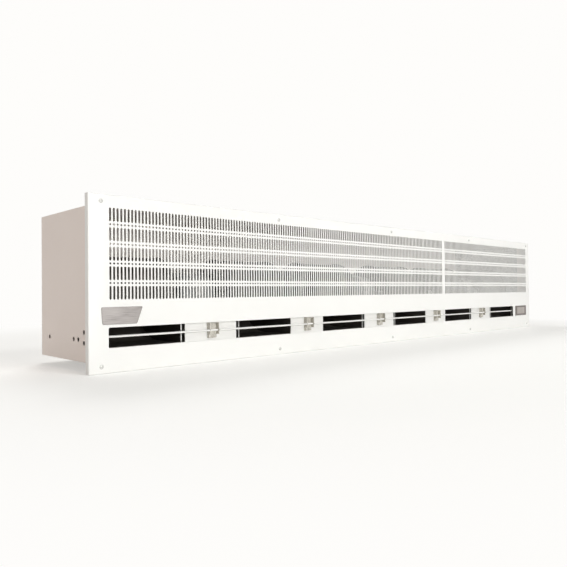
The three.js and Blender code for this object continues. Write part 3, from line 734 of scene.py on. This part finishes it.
class Paint:
    """One procedural finish, grown from a principled shader in Object coordinates."""

    MIX_DARK, MIX_LIGHT, MIX_COLOUR = 6, 7, 2

    def __init__(self, name, roughness, metallic=0.0):
        self.material = bpy.data.materials.new(name)
        self.material.use_nodes = True
        self.tree = self.material.node_tree
        self.tree.nodes.clear()
        self.out = self.add("ShaderNodeOutputMaterial")
        self.shader = self.add("ShaderNodeBsdfPrincipled")
        self.link(self.shader.outputs[0], self.out.inputs[0])
        self.shader.inputs["Roughness"].default_value = roughness
        self.shader.inputs["Metallic"].default_value = metallic
        self.place = self.add("ShaderNodeTexCoord").outputs["Object"]

    def add(self, kind):
        return self.tree.nodes.new(kind)

    def link(self, a, b):
        self.tree.links.new(a, b)

    def stretched(self, scale):
        node = self.add("ShaderNodeMapping")
        node.inputs["Scale"].default_value = scale
        self.link(self.place, node.inputs["Vector"])
        return node.outputs[0]

    def noise(self, scale, detail=3.0, vector=None):
        node = self.add("ShaderNodeTexNoise")
        node.inputs["Scale"].default_value = scale
        node.inputs["Detail"].default_value = detail
        self.link(vector or self.place, node.inputs["Vector"])
        return node.outputs["Fac"]

    def spangle(self, scale):
        node = self.add("ShaderNodeTexVoronoi")
        node.inputs["Scale"].default_value = scale
        self.link(self.place, node.inputs["Vector"])
        return node.outputs["Color"]

    def spread(self, value, low, high):
        """Stretches the middle of a pattern's range to the span from low to high."""
        node = self.add("ShaderNodeMapRange")
        node.inputs["From Min"].default_value = 0.3
        node.inputs["From Max"].default_value = 0.7
        node.inputs["To Min"].default_value = low
        node.inputs["To Max"].default_value = high
        self.link(value, node.inputs["Value"])
        return node.outputs[0]

    def colours(self, value, dark, light):
        node = self.add("ShaderNodeMix")
        node.data_type = "RGBA"
        node.inputs[self.MIX_DARK].default_value = dark
        node.inputs[self.MIX_LIGHT].default_value = light
        self.link(self.spread(value, 0.0, 1.0), node.inputs[0])
        self.link(node.outputs[self.MIX_COLOUR], self.shader.inputs["Base Color"])
        return self

    def rough(self, value, low, high):
        self.link(self.spread(value, low, high), self.shader.inputs["Roughness"])
        return self

    def bump(self, value, strength, distance):
        node = self.add("ShaderNodeBump")
        node.inputs["Strength"].default_value = strength
        node.inputs["Distance"].default_value = distance
        self.link(value, node.inputs["Height"])
        self.link(node.outputs[0], self.shader.inputs["Normal"])
        return self


def powder_coat(name, dark, light):
    paint = Paint(name, 0.42)
    paint.colours(paint.noise(5.0, 5.0), dark, light)
    paint.rough(paint.noise(60.0), 0.36, 0.48)
    return paint.bump(paint.noise(620.0, 2.0), 0.10, 0.0003).material


def enamel():
    paint = Paint("black_enamel", 0.5)
    # Painted light: the housings' dark enamel is lifted to a dark grey, standing in for light that
    # hardly reaches inside the cabinet. The same dark grey fills the nut holes as painted shade.
    paint.colours(paint.noise(26.0, 6.0), linear(0.26, 0.243, 0.225), linear(0.31, 0.29, 0.27))
    paint.rough(paint.noise(90.0), 0.42, 0.62)
    return paint.bump(paint.noise(480.0), 0.12, 0.0003).material


def zinc(name, dark, light, scale=170.0, metallic=0.85):
    paint = Paint(name, 0.4, metallic=metallic)
    paint.colours(paint.spangle(scale), dark, light)
    paint.rough(paint.spangle(scale), 0.3, 0.5)
    return paint.bump(paint.noise(900.0), 0.08, 0.0002).material


def brushed(name, dark, light, scale, metallic=0.9):
    paint = Paint(name, 0.34, metallic=metallic)
    grain = paint.noise(1.0, 4.0, paint.stretched(scale))
    paint.colours(grain, dark, light)
    paint.rough(grain, 0.26, 0.46)
    return paint.bump(grain, 0.06, 0.0002).material


def moulded(name, dark, light):
    paint = Paint(name, 0.55)
    paint.colours(paint.noise(40.0, 5.0), dark, light)
    paint.rough(paint.noise(200.0), 0.48, 0.66)
    return paint.bump(paint.noise(700.0), 0.15, 0.0003).material


white = powder_coat("white_paint", linear(0.968, 0.965, 0.955), linear(0.98, 0.977, 0.968))
# Painted shade: the cabinet is the same white as the face, warmed here to carry the warm cast of
# shade on its end panels.
shade_warmed_case_white = powder_coat("shade_warmed_case_white", linear(0.957, 0.91, 0.88), linear(0.968, 0.922, 0.893))
inner_white = powder_coat("inner_white", linear(0.972, 0.948, 0.925), linear(0.982, 0.96, 0.938))
lifted_enamel_and_bore_shade = enamel()
galvanised = zinc("galvanised", linear(0.66, 0.66, 0.65), linear(0.82, 0.82, 0.81))
wheel_zinc = zinc("wheel_zinc", linear(0.30, 0.30, 0.29), linear(0.42, 0.42, 0.40), 300.0)
clip_zinc = zinc("clip_zinc", linear(0.74, 0.725, 0.695), linear(0.84, 0.825, 0.79), 420.0, 0.35)
bright = brushed(
    "bright_steel", linear(0.80, 0.80, 0.79), linear(0.88, 0.88, 0.87), (300, 300, 300), 0.45
)
motor_paint = moulded("motor_grey", linear(0.50, 0.51, 0.51), linear(0.60, 0.61, 0.61))
motor_paint.node_tree.nodes["Principled BSDF"].inputs["Metallic"].default_value = 0.4
badge_metal = brushed(
    "satin_aluminium", linear(0.55, 0.532, 0.523), linear(0.625, 0.607, 0.597), (30, 900, 900)
)
nylon = moulded("dark_nylon", linear(0.15, 0.15, 0.155), linear(0.21, 0.21, 0.215))
plate_grey = moulded("plate_grey", linear(0.43, 0.40, 0.385), linear(0.49, 0.46, 0.445))
field_grey = moulded("field_grey", linear(0.65, 0.62, 0.60), linear(0.71, 0.68, 0.66))

# ---------------------------------------------------------------- pieces

build("fine_face_panel", face_panel(), "casing", white, ["face_panel"], 50.0)

end_holes = [(FRONT + depth, z) for depth, z in END_HOLE_PLACES]
build("fine_left_end", end_panel(end_holes), "casing", shade_warmed_case_white, ["left_end_panel"])

screw_head = pan_head(4.2, 2.4)
screw_places = [(x, side * SCREW_Z) for side in (-1, 1) for x in SCREW_XS]
for number, (x, z) in enumerate(screw_places, 1):
    build(f"fine_screw_{number}", moved(screw_head, (x, FRONT - HEAD_SHIFT, z)), "casing",
          bright, [f"face_screw_{number}"])

housing, wheel = blower_housing(), blower_wheel()
motor_body, cradle, strap, shaft = motor(), motor_cradle(), motor_strap(), motor_shaft()
for number, x in enumerate(FAN_SET_XS, 1):
    centre = np.array([x, AXIS_Y, AXIS_Z])
    fans = f"fan_set_{number}"
    build(f"fine_motor_{number}", moved(motor_body, centre), "casing", motor_paint,
          [f"motor_{number}"])
    build(f"fine_cradle_{number}", moved(cradle, centre), "casing", galvanised,
          [f"motor_cradle_{number}"])
    build(f"fine_strap_{number}", moved(strap, centre), "casing", galvanised,
          [f"motor_strap_{number}"])
    build(f"fine_shaft_{number}", moved(shaft, centre), fans, bright,
          [f"motor_shaft_{number}"])
    for k, side in enumerate((-1, 1)):
        blower = 2 * number - 1 + k
        at = centre + (side * HOUSING_OFFSET, 0, 0)
        build(f"fine_housing_{blower}", moved(housing, at), "casing", lifted_enamel_and_bore_shade,
              [f"blower_housing_{blower}"])
        at = centre + (side * WHEEL_OFFSET, 0, 0)
        build(f"fine_wheel_{blower}", moved(wheel, at), fans, wheel_zinc,
              [f"blower_wheel_{blower}"])

low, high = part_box("nozzle_plate")
nozzle_sheet = nozzle_plate(low[0] / MILLIMETRE, high[0] / MILLIMETRE)
build("fine_nozzle_plate", nozzle_sheet, "casing", white, ["nozzle_plate"])
build("fine_mouth_edges", mouth_edges(), "casing", galvanised, ())
build("fine_vane", air_vane(), "vane", white, ["air_vane"])
bracket = vane_bracket()
for number, x in enumerate(BRACKET_XS, 1):
    build(f"fine_bracket_{number}", moved(bracket, (x, 0, 0)), "casing", clip_zinc,
          [f"vane_bracket_{number}"])

badge = plate(BADGE_CORNERS, 3.0, ((1, 0.3), (1, 0.9), (0.975, 1.3)))
build("fine_badge", badge, "casing", badge_metal, ["badge_plate"], 20.0)
rating = plate(RATING_CORNERS, 2.0, ((1, 0.3), (1, 0.8), (0.985, 1.1)))
build("fine_rating", rating, "casing", plate_grey, ["rating_plate"], 20.0)
field = plate(FIELD_CORNERS, 1.0, ((1, 0.9), (1, 1.25), (0.98, 1.35)))
build("fine_rating_field", field, "casing", field_grey, (), 20.0)

rings, shade_discs = hanger_nuts()
build("fine_back_rivets", back_rivets(), "casing", shade_warmed_case_white, ())
build("fine_hanger_nuts", rings, "casing", galvanised, ())
# Dark discs in the nut holes are painted shade.
build("fine_hanger_bore_shade", shade_discs, "casing", lifted_enamel_and_bore_shade, ())

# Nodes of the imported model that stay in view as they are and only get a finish.
cad_finishes = {
    inner_white: ["top_panel", "bottom_panel", "back_panel"],
    shade_warmed_case_white: ["right_end_panel"],
    galvanised: ["compartment_wall", "wire_raceway"],
    badge_metal: ["run_capacitor_1", "run_capacitor_2", "run_capacitor_3"],
    nylon: ["terminal_block", "supply_bushing"],
}
for material, names in cad_finishes.items():
    for name in names:
        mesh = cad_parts[name].data
        mesh.materials.clear()
        mesh.materials.append(material)

# ---------------------------------------------------------------- stage, light, camera
# Places in metres, turns in degrees, the lens in millimetres.

BACKGROUND = linear(0.996, 0.992, 0.984)
FLOOR_Z, FLOOR_REACH = -0.1687, 9.0
CAMERA_PLACE = (-1.3901, -1.2798, -0.0189)
CAMERA_TURN = (43.31, 0.847, -0.587)
CAMERA_LENS, CAMERA_SENSOR = 36.29, 36.0


def seen_rays(tree):
    """One for rays that come from the camera or a gloss, which see the pale surroundings."""
    light = tree.nodes.new("ShaderNodeLightPath")
    either = tree.nodes.new("ShaderNodeMath")
    either.operation = "MAXIMUM"
    tree.links.new(light.outputs["Is Camera Ray"], either.inputs[0])
    tree.links.new(light.outputs["Is Glossy Ray"], either.inputs[1])
    return either.outputs[0]


def stage_paint(name, colour, glow, near, far):
    """Matt floor with a glow that only camera and gloss rays see.

    It turns smoothly into the plain background colour between two distances from the
    origin, in metres, so that no horizon shows.
    """
    paint = Paint(name, 0.9)
    paint.colours(paint.noise(3.0), colour, colour)
    paint.shader.inputs["Specular IOR Level"].default_value = 0.0
    emit, plain = (paint.add("ShaderNodeEmission") for _ in range(2))
    for node, strength in ((emit, glow), (plain, 1.0)):
        node.inputs["Color"].default_value = BACKGROUND
        node.inputs["Strength"].default_value = strength
    length = paint.add("ShaderNodeVectorMath")
    length.operation = "LENGTH"
    fade = paint.add("ShaderNodeMapRange")
    fade.interpolation_type = "SMOOTHSTEP"
    fade.inputs["From Min"].default_value = near
    fade.inputs["From Max"].default_value = far
    add = paint.add("ShaderNodeAddShader")
    seen, mix = (paint.add("ShaderNodeMixShader") for _ in range(2))
    paint.link(paint.place, length.inputs[0])
    paint.link(length.outputs["Value"], fade.inputs["Value"])
    paint.link(paint.shader.outputs[0], add.inputs[0])
    paint.link(emit.outputs[0], add.inputs[1])
    paint.link(fade.outputs[0], seen.inputs[0])
    paint.link(add.outputs[0], seen.inputs[1])
    paint.link(plain.outputs[0], seen.inputs[2])
    paint.link(seen_rays(paint.tree), mix.inputs[0])
    paint.link(paint.shader.outputs[0], mix.inputs[1])
    paint.link(seen.outputs[0], mix.inputs[2])
    paint.link(mix.outputs[0], paint.out.inputs[0])
    return paint.material


def studio_floor(reach, height, material):
    """Square floor sheet round the origin, sizes in metres."""
    mesh = bpy.data.meshes.new("studio_floor")
    corners = [(x, y, height) for x, y in
               ((-reach, -reach), (reach, -reach), (reach, reach), (-reach, reach))]
    mesh.from_pydata(corners, [], [(0, 1, 2, 3)])
    mesh.materials.append(material)
    sheet = bpy.data.objects.new("studio_floor", mesh)
    bpy.context.scene.collection.objects.link(sheet)


def studio_air():
    """World that lights softly and looks plain and pale to the camera."""
    world = bpy.data.worlds.new("studio_air")
    bpy.context.scene.world = world
    world.use_nodes = True
    tree = world.node_tree
    tree.nodes.clear()
    soft = tree.nodes.new("ShaderNodeBackground")
    soft.inputs["Color"].default_value = (1.0, 0.96, 0.92, 1.0)
    soft.inputs["Strength"].default_value = 0.22
    seen = tree.nodes.new("ShaderNodeBackground")
    seen.inputs["Color"].default_value = BACKGROUND
    mix = tree.nodes.new("ShaderNodeMixShader")
    out = tree.nodes.new("ShaderNodeOutputWorld")
    tree.links.new(seen_rays(tree), mix.inputs[0])
    tree.links.new(soft.outputs[0], mix.inputs[1])
    tree.links.new(seen.outputs[0], mix.inputs[2])
    tree.links.new(mix.outputs[0], out.inputs[0])


def lamp(name, place, target, size, power, colour=(1.0, 1.0, 1.0)):
    """Round lamp that faces its target, sizes in metres and watts."""
    data = bpy.data.lights.new(name, "AREA")
    data.shape = "DISK"
    data.size = size
    data.energy = power
    data.color = colour
    light = bpy.data.objects.new(name, data)
    bpy.context.scene.collection.objects.link(light)
    turn = (Vector(target) - Vector(place)).to_track_quat("-Z", "Y").to_matrix().to_4x4()
    light.matrix_world = Matrix.Translation(place) @ turn


def photo_camera():
    """Camera at the photograph's place, turned by yaw, then pitch, then roll, in degrees."""
    yaw, pitch, roll = np.radians(CAMERA_TURN)
    ahead = Vector((np.sin(yaw) * np.cos(pitch), np.cos(yaw) * np.cos(pitch), np.sin(pitch)))
    level = Vector((np.cos(yaw), -np.sin(yaw), 0.0))
    upright = level.cross(ahead)
    right = level * np.cos(roll) + upright * np.sin(roll)
    up = upright * np.cos(roll) - level * np.sin(roll)
    data = bpy.data.cameras.new("photo_camera")
    data.lens = CAMERA_LENS
    data.sensor_width = CAMERA_SENSOR
    camera = bpy.data.objects.new("photo_camera", data)
    bpy.context.scene.collection.objects.link(camera)
    turn = Matrix([right, up, -ahead]).transposed().to_4x4()
    camera.matrix_world = Matrix.Translation(CAMERA_PLACE) @ turn
    bpy.context.scene.camera = camera


floor_paint = stage_paint("floor_paint", linear(0.9, 0.9, 0.89), 0.385, 1.0, 1.65)
studio_floor(FLOOR_REACH, FLOOR_Z, floor_paint)
studio_air()
lamp("front_lamp", (-0.5, -4.4, 0.45), (-0.1, -0.27, 0.0), 1.1, 98.0, (1.0, 1.0, 0.985))
lamp("high_lamp", (0.2, -3.6, 3.3), (0.0, -0.27, 0.0), 1.2, 40.0, (0.97, 1.0, 1.0))
lamp("side_lamp", (-5.0, -0.45, 0.9), (-0.9, -0.14, 0.0), 1.4, 37.0, (1.0, 0.94, 0.90))
lamp("back_lamp", (0.3, 2.0, 2.8), (0.0, -0.14, 0.0), 1.4, 46.0)

photo_camera()
bpy.context.scene.view_settings.view_transform = "Standard"
